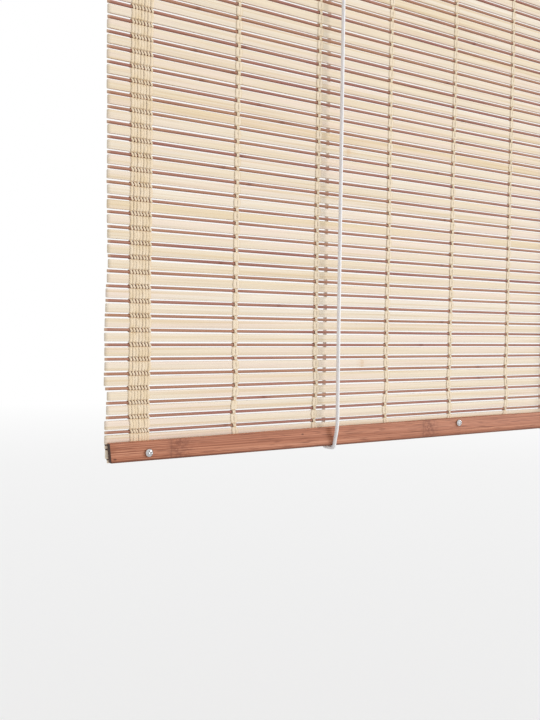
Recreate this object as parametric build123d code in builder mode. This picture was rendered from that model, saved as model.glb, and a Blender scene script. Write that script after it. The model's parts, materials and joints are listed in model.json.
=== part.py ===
import os
from itertools import pairwise
from math import atan2, degrees

from build123d import *

# A roll-up bamboo blind, let down. X runs to the right as seen from the room, Z up, and the room
# is at -Y. The origin is midway between the two hanging holes, in the plane of the wall.

# Mat
blind_width = 600.0
row_count = 88
slat_height = 5.4
slat_thickness = 2.0
reed_height = 1.8
reed_thickness = 1.6
reed_front_share = 0.55
row_gap = 0.9

# Yarn
thread_thickness = 0.5
warp_width = 3.2
warp_count = 7
warp_pitch = 68.5
band_width = 14.6
band_inset = 23.0
band_yarn_count = 7
band_yarn_width = 1.6
band_base_thickness = 0.25

# Rails
rail_inset = 1.5
rail_edge_radius = 1.5
head_height = 30.0
head_front_thickness = 4.0
head_back_thickness = 8.0
head_cover = 1.0
bottom_height = 13.2
bottom_front_thickness = 4.0
bottom_back_thickness = 3.2
mat_tail = 0.5

# Rail screws, the middle one beside the middle warp, through the gap above a reed
rail_screw_shank = 1.6
rail_screw_head = 5.4
rail_screw_rise = 2.2
rail_screw_inset = 28.0
rail_screw_aside = 6.5
side_screw_rise = 5.1
middle_screw_rise = 10.0
rail_screw_bite_share = 0.7
head_screw_row = 1

# Hanging plates
hanger_inset = 50.0
hanger_width = 16.0
hanger_thickness = 1.2
hanger_hole = 6.0
hanger_rise = 9.0
hanger_overlap = 18.0
hanger_screw_pitch = 8.0
hanger_screw_shank = 2.0
hanger_screw_head = 4.0
hanger_screw_rise = 1.0
hanger_screw_reach = 6.0

# Lift cords
cord_diameter = 2.7
cord_clearance = 0.3
lift_inset = 177.0
bow_rise = 12.0
bow_radius = 60.0
cord_hole_clearance = 0.3
knot_width = 6.0
knot_height = 3.6
pull_drop = 480.0

# Pulleys
wheel_bend_radius = 5.0
wheel_lip = 1.25
wheel_flange_width = 1.2
wheel_width = 6.0
wheel_gap = 0.5
pin_diameter = 2.5
pin_head = 4.0
pin_head_height = 0.8
strap_width = 6.0
strap_thickness = 1.0
strap_clearance = 1.0
strap_foot = 6.0
strap_screw_shank = 1.8
strap_screw_head = 3.6
strap_screw_rise = 1.0
strap_screw_reach = 3.0

# Fits
running_clearance = 0.05
screw_clearance = 0.05

# Small turned pieces and cords are regular polygons in section
round_sides = 16
small_sides = 8
cord_sides = 6
dome_rise_shares = (0, 0.6, 1)
dome_radius_shares = (1, 0.82, 0.4)
knot_rise_shares = (0, 0.5, 1)
knot_radius_shares = (0.75, 1, 0.75)

# Depths, from the wall towards the room
mat_thickness = max(slat_thickness, reed_thickness)
head_back_y = -hanger_thickness
mat_back_y = head_back_y - head_back_thickness - thread_thickness
mat_front_y = mat_back_y - mat_thickness
back_rail_y = mat_back_y + thread_thickness
front_rail_y = mat_front_y - thread_thickness
head_front_y = front_rail_y - head_front_thickness
bottom_front_y = front_rail_y - bottom_front_thickness
bottom_back_y = back_rail_y + bottom_back_thickness

# Heights
row_pitch = slat_height + reed_height + 2 * row_gap
mat_height = row_count * row_pitch - row_gap
head_top_z = -hanger_rise
head_middle_z = head_top_z - head_height / 2
mat_top_z = head_top_z - head_cover
mat_bottom_z = mat_top_z - mat_height
mat_middle_z = (mat_top_z + mat_bottom_z) / 2
rows_reach = (row_count - 1) * row_pitch
slats_middle_z = mat_top_z - slat_height / 2 - rows_reach / 2
reeds_middle_z = mat_bottom_z + reed_height / 2 + rows_reach / 2
bottom_low_z = mat_bottom_z + mat_tail
bottom_middle_z = bottom_low_z + bottom_height / 2

# Places across the blind
slat_end_x = blind_width / 2
rail_length = blind_width - 2 * rail_inset
band_x = slat_end_x - band_inset
lift_x = slat_end_x - lift_inset
side_screw_x = slat_end_x - rail_screw_inset
screw_xs = (-side_screw_x, rail_screw_aside, side_screw_x)

# Screw places
side_screw_z = bottom_low_z + side_screw_rise
middle_screw_z = bottom_low_z + middle_screw_rise
bottom_screws = list(zip(screw_xs, (side_screw_z, middle_screw_z, side_screw_z)))
head_slat_z = mat_top_z - slat_height / 2 - head_screw_row * row_pitch
head_screws = [(x, head_slat_z) for x in screw_xs]
rail_screw_hole = rail_screw_shank / 2 + screw_clearance
strap_screw_hole = strap_screw_shank / 2 + screw_clearance
hanger_screw_hole = hanger_screw_shank / 2 + screw_clearance
bottom_screw_bite = bottom_back_thickness * rail_screw_bite_share
head_screw_bite = head_back_thickness * rail_screw_bite_share

# Lift cord and pulley places
cord_radius = cord_diameter / 2
cord_bend_radius = rail_edge_radius + cord_clearance + cord_radius
cord_back_y = bottom_back_y + cord_clearance + cord_radius
cord_hug_y = bottom_front_y - cord_clearance - cord_radius
cord_under_z = mat_bottom_z - cord_clearance - cord_radius
cord_front_y = head_front_y - wheel_gap - wheel_width / 2
far_cord_y = cord_front_y - wheel_gap - wheel_width
cord_over_z = head_middle_z + wheel_bend_radius
left_wheel_x = -lift_x + wheel_bend_radius
right_wheel_x = lift_x + wheel_bend_radius
pull_x = right_wheel_x + wheel_bend_radius
pull_z = head_middle_z - pull_drop
cord_hole = cord_radius + cord_hole_clearance
wheel_drum_radius = wheel_bend_radius - cord_radius - cord_clearance
wheel_radius = wheel_bend_radius + wheel_lip
strap_half_height = wheel_radius + strap_clearance
strap_screw_z = strap_half_height + strap_thickness + strap_foot / 2
strap_screws = [
    (x, head_middle_z + side * strap_screw_z)
    for x in (left_wheel_x, right_wheel_x)
    for side in (-1, 1)
]
hanger_x = slat_end_x - hanger_inset
hanger_xs = (-hanger_x, hanger_x)
hanger_screw_zs = [
    head_top_z - hanger_overlap / 2 + side * hanger_screw_pitch / 2 for side in (-1, 1)
]
hanger_screws = [(x, z) for x in hanger_xs for z in hanger_screw_zs]


def front_plane(y, z=0):
    """A plane that faces the room, at that depth and height."""
    return Plane(origin=(0, y, z), x_dir=(1, 0, 0), z_dir=(0, -1, 0))


def end_plane(x, y, z):
    """A plane that faces along the blind, with depth as its first direction."""
    return Plane(origin=(x, y, z), x_dir=(0, 1, 0), z_dir=(1, 0, 0))


def stack(base, width, height, rise_shares, radius_shares, sides):
    """A domed, waisted or bulging turned piece on a plane, from its width at a few heights."""
    with BuildPart() as piece:
        for (low, low_radius), (high, high_radius) in pairwise(zip(rise_shares, radius_shares)):
            rise = height * (high - low)
            narrowing = width / 2 * (low_radius - high_radius)
            with BuildSketch(base.offset(height * low)):
                RegularPolygon(width / 2 * low_radius, sides, major_radius=False)
            extrude(amount=rise, taper=degrees(atan2(narrowing, rise)))
    return piece.part


def screws(places, seat_y, head_width, head_rise, shank_width, reach, facing, head_sides):
    """Like screws with domed heads on a plane. They face the room, 1, or the wall, -1."""
    with BuildPart() as group:
        with BuildSketch(front_plane(seat_y)):
            with Locations(*places):
                RegularPolygon(shank_width / 2, small_sides, major_radius=False)
        extrude(amount=-facing * reach)
        for x, z in places:
            seat = Plane(origin=(x, seat_y, z), x_dir=(1, 0, 0), z_dir=(0, -facing, 0))
            add(stack(seat, head_width, head_rise, dome_rise_shares, dome_radius_shares, head_sides))
    return group.part


def write(piece, name):
    """Label a finished piece and write its file."""
    piece.label = name
    export_step(piece, f"parts/{name}.step")


os.makedirs("parts", exist_ok=True)

# Slats, one per row, carried by the front yarns of the middle warp
with BuildPart() as slat_mat:
    with BuildSketch(front_plane(mat_front_y, slats_middle_z)):
        with GridLocations(0, row_pitch, 1, row_count):
            Rectangle(blind_width, slat_height)
    extrude(amount=-slat_thickness)
    with BuildSketch(front_plane(mat_front_y, mat_middle_z)):
        Rectangle(warp_width, mat_height)
    extrude(amount=thread_thickness)
    with BuildSketch(front_plane(mat_front_y)):
        with Locations(*bottom_screws, *head_screws):
            RegularPolygon(rail_screw_hole, small_sides, major_radius=False)
    extrude(amount=-slat_thickness, mode=Mode.SUBTRACT)
write(slat_mat.part, "slat_mat")

# Split reeds, flat behind and narrower in front, carried by the back yarns of the middle warp
with BuildPart() as reed_mat:
    with BuildSketch(end_plane(-slat_end_x, mat_back_y, reeds_middle_z)):
        with GridLocations(0, row_pitch, 1, row_count):
            Polygon(
                (0, -reed_height / 2),
                (0, reed_height / 2),
                (-reed_thickness, reed_height / 2 * reed_front_share),
                (-reed_thickness, -reed_height / 2 * reed_front_share),
                align=None,
            )
    extrude(amount=blind_width)
    with BuildSketch(front_plane(mat_back_y, mat_middle_z)):
        Rectangle(warp_width, mat_height)
    extrude(amount=-thread_thickness)
    with BuildSketch(front_plane(mat_back_y)):
        with Locations(*bottom_screws):
            RegularPolygon(rail_screw_hole, small_sides, major_radius=False)
    extrude(amount=reed_thickness, mode=Mode.SUBTRACT)
write(reed_mat.part, "reed_mat")

# The other single warps, a flat pair of yarns in front of the mat and one behind it
middle_warp = (warp_count + 1) / 2
for number in range(1, warp_count + 1):
    warp_x = (number - middle_warp) * warp_pitch
    if number == middle_warp:
        continue
    for side, face_y, depth in (
        ("front", mat_front_y, thread_thickness),
        ("back", mat_back_y, -thread_thickness),
    ):
        with BuildPart() as warp:
            with BuildSketch(front_plane(face_y, mat_middle_z)):
                with Locations((warp_x, 0)):
                    Rectangle(warp_width, mat_height)
            extrude(amount=depth)
        write(warp.part, f"warp_{side}_{number}")

# Edge bands, ribbed by their close yarns, in front of the mat and behind it
band_yarn_pitch = (band_width - band_yarn_width) / (band_yarn_count - 1)
for end, centre_x in (("left", -band_x), ("right", band_x)):
    for side, face_y, outward in (("front", mat_front_y, -1), ("back", mat_back_y, 1)):
        band_plane = Plane(origin=(centre_x, face_y, mat_bottom_z))
        with BuildPart() as band:
            with BuildSketch(band_plane):
                with Locations((0, outward * band_base_thickness / 2)):
                    Rectangle(band_width, band_base_thickness)
                with Locations((0, outward * thread_thickness / 2)):
                    with GridLocations(band_yarn_pitch, 0, band_yarn_count, 1):
                        Rectangle(band_yarn_width, thread_thickness)
            extrude(amount=mat_height)
            with BuildSketch(front_plane(face_y)):
                with Locations(*bottom_screws, *head_screws):
                    RegularPolygon(rail_screw_hole, small_sides, major_radius=False)
            extrude(amount=thread_thickness, both=True, mode=Mode.SUBTRACT)
        write(band.part, f"edge_band_{end}_{side}")

# Bottom rail
with BuildPart() as bottom_rail_front:
    with BuildSketch(end_plane(-rail_length / 2, (bottom_front_y + front_rail_y) / 2, bottom_middle_z)):
        Rectangle(bottom_front_thickness, bottom_height)
    extrude(amount=rail_length)
    fillet(bottom_rail_front.edges().filter_by(Axis.X).sort_by(Axis.Y)[:2], rail_edge_radius)
    with BuildSketch(front_plane(bottom_front_y)):
        with Locations(*bottom_screws):
            RegularPolygon(rail_screw_hole, small_sides, major_radius=False)
    extrude(amount=-bottom_front_thickness, mode=Mode.SUBTRACT)
write(bottom_rail_front.part, "bottom_rail_front")

with BuildPart() as bottom_rail_back:
    with BuildSketch(end_plane(-rail_length / 2, (bottom_back_y + back_rail_y) / 2, bottom_middle_z)):
        Rectangle(bottom_back_thickness, bottom_height)
    extrude(amount=rail_length)
    fillet(bottom_rail_back.edges().filter_by(Axis.X).sort_by(Axis.Y)[-2:], rail_edge_radius)
    with BuildSketch(front_plane(back_rail_y)):
        with Locations(*bottom_screws):
            RegularPolygon(rail_screw_hole, small_sides, major_radius=False)
    extrude(amount=-bottom_screw_bite - screw_clearance, mode=Mode.SUBTRACT)
write(bottom_rail_back.part, "bottom_rail_back")

# Head rail, with the pulleys' holes in front and the cords' and plates' holes behind
with BuildPart() as head_rail_front:
    with BuildSketch(end_plane(-rail_length / 2, (head_front_y + front_rail_y) / 2, head_middle_z)):
        Rectangle(head_front_thickness, head_height)
    extrude(amount=rail_length)
    fillet(head_rail_front.edges().filter_by(Axis.X).sort_by(Axis.Y)[:2], rail_edge_radius)
    with BuildSketch(front_plane(head_front_y)):
        with Locations(*head_screws):
            RegularPolygon(rail_screw_hole, small_sides, major_radius=False)
        with Locations(*strap_screws):
            RegularPolygon(strap_screw_hole, small_sides, major_radius=False)
        with Locations((left_wheel_x, head_middle_z), (right_wheel_x, head_middle_z)):
            RegularPolygon(pin_diameter / 2 + screw_clearance, round_sides, major_radius=False)
    extrude(amount=-head_front_thickness, mode=Mode.SUBTRACT)
write(head_rail_front.part, "head_rail_front")

with BuildPart() as head_rail_back:
    with BuildSketch(end_plane(-rail_length / 2, (head_back_y + back_rail_y) / 2, head_middle_z)):
        Rectangle(head_back_thickness, head_height)
    extrude(amount=rail_length)
    with BuildSketch(front_plane(back_rail_y)):
        with Locations(*head_screws):
            RegularPolygon(rail_screw_hole, small_sides, major_radius=False)
    extrude(amount=-head_screw_bite - screw_clearance, mode=Mode.SUBTRACT)
    with BuildSketch(front_plane(head_back_y)):
        with Locations(*hanger_screws):
            RegularPolygon(hanger_screw_hole, small_sides, major_radius=False)
    extrude(amount=hanger_screw_reach + screw_clearance, mode=Mode.SUBTRACT)
    with BuildSketch(Plane.XY.offset(head_top_z)):
        with Locations((-lift_x, cord_back_y), (lift_x, cord_back_y)):
            RegularPolygon(cord_hole, small_sides, major_radius=False)
    extrude(amount=-head_height, mode=Mode.SUBTRACT)
write(head_rail_back.part, "head_rail_back")

# Rail screws
for rail, places, seat_y, bite in (
    ("bottom", bottom_screws, bottom_front_y, bottom_screw_bite),
    ("head", head_screws, head_front_y, head_screw_bite),
):
    screw_reach = back_rail_y + bite - seat_y
    rail_screws = screws(
        places, seat_y, rail_screw_head, rail_screw_rise, rail_screw_shank, screw_reach, 1, round_sides
    )
    write(rail_screws, f"{rail}_rail_screws")

# Hanging plates, each a tongue with a round end about its hole
for end, plate_x in zip(("left", "right"), hanger_xs):
    with BuildPart() as hanger:
        with BuildSketch(front_plane(0)):
            with Locations((plate_x, 0)):
                Circle(hanger_width / 2)
            with Locations((plate_x, 0)):
                Rectangle(hanger_width, hanger_rise + hanger_overlap, align=(Align.CENTER, Align.MAX))
            with Locations((plate_x, 0)):
                Circle(hanger_hole / 2, mode=Mode.SUBTRACT)
        extrude(amount=hanger_thickness)
        with BuildSketch(front_plane(0)):
            with Locations(*[(plate_x, z) for z in hanger_screw_zs]):
                RegularPolygon(hanger_screw_hole, small_sides, major_radius=False)
        extrude(amount=hanger_thickness, mode=Mode.SUBTRACT)
    write(hanger.part, f"hanger_{end}")
hanger_fixings = screws(
    hanger_screws,
    0,
    hanger_screw_head,
    hanger_screw_rise,
    hanger_screw_shank,
    hanger_thickness + hanger_screw_reach,
    -1,
    small_sides,
)
write(hanger_fixings, "hanger_screws")

# Pulleys: a bent strap over one wheel on the left and over two wheels on the right
for end, wheel_x, wheels in (("left", left_wheel_x, 1), ("right", right_wheel_x, 2)):
    strap_depth = wheels * wheel_width + (wheels + 1) * wheel_gap
    strap_front_y = head_front_y - strap_depth - strap_thickness
    leg_z = strap_half_height + strap_thickness
    with BuildPart() as strap:
        with BuildSketch(end_plane(wheel_x - strap_width / 2, head_front_y, head_middle_z)):
            with BuildLine():
                Polyline(
                    (-strap_depth - strap_thickness, 0),
                    (-strap_depth - strap_thickness, leg_z),
                    (-strap_thickness, leg_z),
                    (-strap_thickness, leg_z + strap_foot),
                    (0, leg_z + strap_foot),
                    (0, strap_half_height),
                    (-strap_depth, strap_half_height),
                    (-strap_depth, 0),
                )
                mirror(about=Plane.XZ)
            make_face()
        extrude(amount=strap_width)
        with BuildSketch(front_plane(strap_front_y)):
            with Locations((wheel_x, head_middle_z)):
                RegularPolygon(pin_diameter / 2 + screw_clearance, round_sides, major_radius=False)
        extrude(amount=-strap_thickness, mode=Mode.SUBTRACT)
        with BuildSketch(front_plane(head_front_y)):
            with Locations(*strap_screws):
                RegularPolygon(strap_screw_hole, small_sides, major_radius=False)
        extrude(amount=strap_thickness, mode=Mode.SUBTRACT)
    write(strap.part, f"{end}_pulley_strap")

    with BuildPart() as pin:
        with BuildSketch(front_plane(front_rail_y, head_middle_z)):
            with Locations((wheel_x, 0)):
                RegularPolygon(pin_diameter / 2, round_sides)
        extrude(amount=front_rail_y - strap_front_y)
        with BuildSketch(front_plane(strap_front_y, head_middle_z)):
            with Locations((wheel_x, 0)):
                RegularPolygon(pin_head / 2, round_sides)
        extrude(amount=pin_head_height)
    write(pin.part, f"{end}_pulley_pin")

for wheel_name, wheel_x, wheel_y in (
    ("left_pulley_wheel", left_wheel_x, cord_front_y),
    ("right_pulley_rear_wheel", right_wheel_x, cord_front_y),
    ("right_pulley_front_wheel", right_wheel_x, far_cord_y),
):
    wheel_face = Plane(origin=(wheel_x, wheel_y + wheel_width / 2, head_middle_z), z_dir=(0, -1, 0))
    with BuildPart() as wheel:
        with BuildSketch(wheel_face):
            RegularPolygon(wheel_drum_radius, round_sides)
        extrude(amount=wheel_width)
        with BuildSketch(wheel_face, wheel_face.offset(wheel_width - wheel_flange_width)):
            RegularPolygon(wheel_radius, round_sides)
        extrude(amount=wheel_flange_width)
        with BuildSketch(wheel_face):
            RegularPolygon(pin_diameter / 2 + running_clearance, round_sides, major_radius=False)
        extrude(amount=wheel_width, mode=Mode.SUBTRACT)
    write(wheel.part, wheel_name)

pulley_fixings = screws(
    strap_screws,
    head_front_y - strap_thickness,
    strap_screw_head,
    strap_screw_rise,
    strap_screw_shank,
    strap_thickness + strap_screw_reach,
    1,
    small_sides,
)
write(pulley_fixings, "pulley_screws")


def knot(x, y, low_z):
    """A stopper knot on a cord, standing at that height."""
    base = Plane(origin=(x, y, low_z))
    return stack(base, knot_width, knot_height, knot_rise_shares, knot_radius_shares, cord_sides)


def lift_route(x):
    """A lift cord's places from its knot, down the back and under the rail, to its run in front."""
    return [
        (x, cord_back_y, head_top_z + knot_height / 2),
        (x, cord_back_y, cord_under_z),
        (x, cord_hug_y, cord_under_z),
        (x, cord_front_y, bottom_low_z + bow_rise),
    ]


# Left lift cord: over its own wheel, along the rail, and down over the right pulley's front wheel
with BuildPart() as lift_cord_left:
    with BuildLine() as left_line:
        FilletPolyline(
            *lift_route(-lift_x),
            (-lift_x, cord_front_y, cord_over_z),
            (pull_x, far_cord_y, cord_over_z),
            (pull_x, far_cord_y, pull_z),
            radius=(cord_bend_radius, cord_bend_radius, bow_radius, wheel_bend_radius, wheel_bend_radius),
        )
    with BuildSketch(Plane(origin=left_line.line @ 0, z_dir=left_line.line % 0)):
        RegularPolygon(cord_radius, cord_sides)
    sweep()
    add(knot(-lift_x, cord_back_y, head_top_z))
    add(knot(pull_x, far_cord_y, pull_z - knot_height))
write(lift_cord_left.part, "lift_cord_left")

# Right lift cord: half round the right pulley's rear wheel
with BuildPart() as lift_cord_right:
    with BuildLine() as right_line:
        FilletPolyline(
            *lift_route(lift_x),
            (lift_x, cord_front_y, head_middle_z),
            radius=(cord_bend_radius, cord_bend_radius, bow_radius),
        )
        ThreePointArc(
            (lift_x, cord_front_y, head_middle_z),
            (right_wheel_x, cord_front_y, cord_over_z),
            (pull_x, cord_front_y, head_middle_z),
        )
        Line((pull_x, cord_front_y, head_middle_z), (pull_x, cord_front_y, pull_z))
    with BuildSketch(Plane(origin=right_line.line @ 0, z_dir=right_line.line % 0)):
        RegularPolygon(cord_radius, cord_sides)
    sweep()
    add(knot(lift_x, cord_back_y, head_top_z))
    add(knot(pull_x, cord_front_y, pull_z - knot_height))
write(lift_cord_right.part, "lift_cord_right")
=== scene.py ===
import json
import math
import random

import bmesh
import bpy
import numpy as np
from mathutils import Matrix, Vector


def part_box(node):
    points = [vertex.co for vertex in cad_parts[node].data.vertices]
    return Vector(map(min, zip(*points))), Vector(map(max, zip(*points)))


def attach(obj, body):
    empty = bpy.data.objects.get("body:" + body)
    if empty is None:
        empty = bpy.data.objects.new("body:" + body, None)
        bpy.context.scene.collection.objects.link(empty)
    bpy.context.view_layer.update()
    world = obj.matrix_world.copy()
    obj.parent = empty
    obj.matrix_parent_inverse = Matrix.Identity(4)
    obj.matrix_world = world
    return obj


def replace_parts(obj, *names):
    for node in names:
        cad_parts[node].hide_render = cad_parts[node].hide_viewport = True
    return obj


# A roll-up bamboo blind, let down. Sizes are in mm. X runs to the right as seen from the room, Z up,
# and the room is at -Y
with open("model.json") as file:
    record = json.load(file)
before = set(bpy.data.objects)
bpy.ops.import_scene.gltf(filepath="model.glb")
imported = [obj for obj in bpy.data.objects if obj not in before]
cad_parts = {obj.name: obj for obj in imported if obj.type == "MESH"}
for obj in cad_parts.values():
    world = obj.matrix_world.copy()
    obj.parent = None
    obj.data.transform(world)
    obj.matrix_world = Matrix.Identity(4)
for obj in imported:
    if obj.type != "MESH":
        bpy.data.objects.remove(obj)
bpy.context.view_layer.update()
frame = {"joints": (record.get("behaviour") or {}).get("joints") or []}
mm = 0.001
random.seed(7)
noise = np.random.default_rng(11)

# Camera, at the photograph's place
camera_place = (-535.11, -515.7, -717.51)
camera_right = (0.815298, -0.578893, 0.013152)
camera_up = (0.009075, 0.035485, 0.999329)
camera_forward = (0.578971, 0.814631, -0.034184)
camera_lens = 45
camera_sensor = 36
camera_near = 0.01

# Light: an even white room, and a soft sun from the right whose angle is in degrees
room_strength = 0.665
key_energy = 1.7
key_angle = 26
key_direction = (-0.784, 0.621, -0.325)

# Floor, in metres
floor_z = -1.25
floor_size = 12
floor_fade_reach = 6.0

# Mat
half_width = 300.0
row_count = 88
row_pitch = 9.0
slat_height = 5.4
slat_thickness = 2.0
reed_height = 1.8
reed_thickness = 1.6
mat_top_z = -10.0
mat_back_y = -9.7
mat_front_y = mat_back_y - slat_thickness
mat_middle_y = (mat_front_y + mat_back_y) / 2
row_gap = (row_pitch - slat_height - reed_height) / 2
first_slat_z = mat_top_z - slat_height / 2
first_reed_z = mat_top_z - slat_height - row_gap - reed_height / 2
bare_reeds = 2

# How far slats and reeds stray from even rows
row_stray = 0.1
left_end_stray = 0.25
reed_end_stray = 0.3
right_end_range = (-0.8, 0.6)
slat_height_stray = 0.12
slat_thickness_loss = 0.06
slat_twist = 1.5
slat_wave = 0.18
reed_wave = 0.22
reed_size_range = (0.96, 1.05)

# Warps and edge bands. A yarn's size is its half width and half thickness
warp_count = 7
middle_warp = 4
warp_pitch = 68.5
band_x = 276.4
band_pitch = 2.15
band_yarns = 7
warp_slat_yarn = (1.18, 0.24)
warp_reed_yarn = (0.62, 0.3)
band_slat_yarn = (1.0, 0.26)
band_reed_yarn = (0.72, 0.3)
yarn_sides = 6

# Pulleys, at their joints' places
joint_places = {joint["child"]: np.array(joint["pos_m"]) / mm for joint in frame["joints"]}
left_wheel_x, rear_wheel_y, wheel_z = joint_places["left_pulley_wheel_body"]
right_wheel_x, front_wheel_y = joint_places["right_pulley_front_wheel_body"][:2]
strap_front_gap = 4.0
strap_foot_rise = 14.25
strap_bend_rise = 7.75
strap_bend = 0.9
strap_width = 6
strap_thickness = 1
strap_edge = 0.25
strap_screw_rise = 11.25
pin_back_y = -12.2
pin_radius = 1.25
pin_head_radius = 2.0
pin_head_height = 0.8

# Rails, whose nodes have a patch that is worked out this far from them
rail_front_y = -16.2
node_patch_reach = 20.0

# Screws: head width and rise, shank width and reach
side_screw_x = 272.0
middle_screw_x = 6.5
side_screw_z = -795.5
middle_screw_z = -790.6
head_screw_z = -21.7
bottom_screw = (5.4, 2.3, 1.6, 8)
head_screw = (5.4, 2.3, 1.6, 11)
strap_screw = (3.6, 1.0, 1.8, 4)
hanger_screw = (4.0, 1.0, 2.0, 7)

# Hanging plates
hanger_x = 250.0
hanger_screw_heights = (-14, -22)
plate_half = 8.0
plate_low = 27.0
plate_corner = 2.0
plate_thickness = 1.2
plate_bevel = 0.2
plate_hole = 3.0

# Lift cords
lift_x = 123.0
pull_x = 133.0
pull_end_z = -504.0
cord_top_z = -7.2
cord_back_y = -4.35
cord_front_y = rear_wheel_y
cord_far_y = front_wheel_y
cord_diameter = 2.7
knot_drop = 1.8
knot_spread = 0.62
knot_rise = 0.68
knot_strand_radius = 1.12


# Materials
def linear(red, green, blue):
    """A colour as seen on a screen, 0 to 255, as the renderer's own linear values."""
    shares = []
    for value in (red, green, blue):
        share = value / 255
        shares.append(share / 12.92 if share <= 0.04045 else ((share + 0.055) / 1.055) ** 2.4)
    return (*shares, 1.0)


class Nodes:
    """A material's node tree, built line by line."""

    def __init__(self, name):
        self.material = bpy.data.materials.new(name)
        self.material.use_nodes = True
        self.tree = self.material.node_tree
        self.shader = self.tree.nodes["Principled BSDF"]
        self.place = self.node("ShaderNodeTexCoord", output="Object")

    def set_socket(self, socket, value):
        if isinstance(value, bpy.types.NodeSocket):
            self.tree.links.new(value, socket)
        else:
            socket.default_value = value

    def shade(self, **values):
        for name, value in values.items():
            self.set_socket(self.shader.inputs[name.replace("_", " ")], value)

    def node(self, kind, output=0, settings=None, **values):
        node = self.tree.nodes.new(kind)
        for key, value in (settings or {}).items():
            setattr(node, key, value)
        for key, value in values.items():
            self.set_socket(node.inputs[key.replace("_", " ")], value)
        return node.outputs[output]

    def stretched(self, vector, scale):
        return self.node("ShaderNodeMapping", Vector=vector, Scale=scale)

    def add(self, first, second):
        node = self.tree.nodes.new("ShaderNodeVectorMath")
        node.operation = "ADD"
        self.set_socket(node.inputs[0], first)
        self.set_socket(node.inputs[1], second)
        return node.outputs[0]

    def math(self, operation, first, second=0.0, clamp=False):
        node = self.tree.nodes.new("ShaderNodeMath")
        node.operation = operation
        node.use_clamp = clamp
        self.set_socket(node.inputs[0], first)
        self.set_socket(node.inputs[1], second)
        return node.outputs[0]

    def noise(self, scale, detail=2.0, roughness=0.5, apart=None):
        """Noise over the piece, with so many waves a metre along each axis, moved by apart."""
        vector = self.stretched(self.place, scale)
        if apart is not None:
            vector = self.add(vector, apart)
        return self.node("ShaderNodeTexNoise", Vector=vector, Scale=1.0, Detail=detail, Roughness=roughness)

    def ramp(self, factor, *stops):
        node = self.tree.nodes.new("ShaderNodeValToRGB")
        self.set_socket(node.inputs[0], factor)
        elements = node.color_ramp.elements
        while len(elements) < len(stops):
            elements.new(0.5)
        for element, (position, colour) in zip(elements, stops):
            element.position = position
            element.color = colour
        return node.outputs[0]

    def grey_ramp(self, factor, *stops):
        return self.ramp(factor, *[(position, (value, value, value, 1.0)) for position, value in stops])

    def mix(self, factor, first, second, blend="MIX"):
        node = self.tree.nodes.new("ShaderNodeMix")
        node.data_type = "RGBA"
        node.blend_type = blend
        self.set_socket(node.inputs[0], factor)
        self.set_socket(node.inputs[6], first)
        self.set_socket(node.inputs[7], second)
        return node.outputs[2]

    def split(self, vector):
        node = self.tree.nodes.new("ShaderNodeSeparateXYZ")
        self.set_socket(node.inputs[0], vector)
        return node.outputs

    def tint(self):
        """The three values that each point of the mesh carries."""
        return self.split(self.node("ShaderNodeAttribute", "Vector", {"attribute_name": "tint"}))[:3]

    def apart(self, shift, reach):
        """A rod's own place in the noise, so that no two rods look alike."""
        return self.node("ShaderNodeCombineXYZ", X=self.math("MULTIPLY", shift, reach), Y=shift, Z=shift)

    def bump(self, height, strength, distance):
        self.shade(
            Normal=self.node("ShaderNodeBump", Height=height, Strength=strength, Distance=distance)
        )


def slat_material():
    """Bare split bamboo: cream, some of it pinkish or yellower, with fine grain along its length."""
    look = Nodes("pale_bamboo_grain")
    tone, shift, mark = look.tint()
    apart = look.apart(shift, 37.0)
    fine = look.noise((14, 700, 1500), 3.0, 0.6, apart)
    broad = look.noise((9, 60, 140), apart=apart)
    streak = look.noise((5, 300, 620), apart=apart)
    base = look.ramp(
        tone,
        (0.0, linear(243, 231, 213)),
        (0.45, linear(240, 225, 202)),
        (0.8, linear(238, 220, 190)),
        (1.0, linear(232, 210, 174)),
    )
    base = look.mix(look.grey_ramp(broad, (0.45, 0.0), (0.65, 0.6)), base, linear(242, 222, 208))
    base = look.mix(look.grey_ramp(streak, (0.5, 0.0), (0.7, 0.6)), base, linear(224, 198, 156))
    base = look.mix(0.8, base, look.grey_ramp(fine, (0.25, 0.86), (0.6, 1.0)), "MULTIPLY")
    knuckle = look.math("MULTIPLY", mark, look.grey_ramp(fine, (0.4, 0.2), (0.6, 0.6)), clamp=True)
    base = look.mix(knuckle, base, linear(208, 164, 112))
    look.shade(Base_Color=base, Roughness=look.grey_ramp(fine, (0.3, 0.7), (0.7, 0.56)))
    look.shade(Specular_IOR_Level=0.2)
    look.bump(fine, 0.35, 0.00012)
    return look.material


def reed_material():
    """Stained split reed: red-brown, with pinker and tanner stretches, darker nodes and pale tips."""
    look = Nodes("brown_reed_grain")
    tone, shift, mark = look.tint()
    apart = look.apart(shift, 41.0)
    fine = look.noise((25, 1200, 2200), 3.0, 0.6, apart)
    broad = look.noise((16, 40, 90), apart=apart)
    base = look.ramp(
        tone,
        (0.0, linear(167, 114, 102)),
        (0.5, linear(177, 125, 108)),
        (1.0, linear(181, 133, 108)),
    )
    base = look.mix(look.grey_ramp(broad, (0.42, 0.0), (0.66, 0.7)), base, linear(189, 143, 113))
    base = look.mix(0.85, base, look.grey_ramp(fine, (0.25, 0.74), (0.65, 1.06)), "MULTIPLY")
    base = look.mix(look.math("MULTIPLY", mark, 0.6, clamp=True), base, linear(124, 72, 56))
    base = look.mix(look.math("MULTIPLY", mark, -0.9, clamp=True), base, linear(212, 176, 146))
    look.shade(Base_Color=base, Roughness=look.grey_ramp(fine, (0.3, 0.66), (0.7, 0.5)))
    look.shade(Specular_IOR_Level=0.25)
    look.bump(fine, 0.4, 0.0001)
    return look.material


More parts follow.
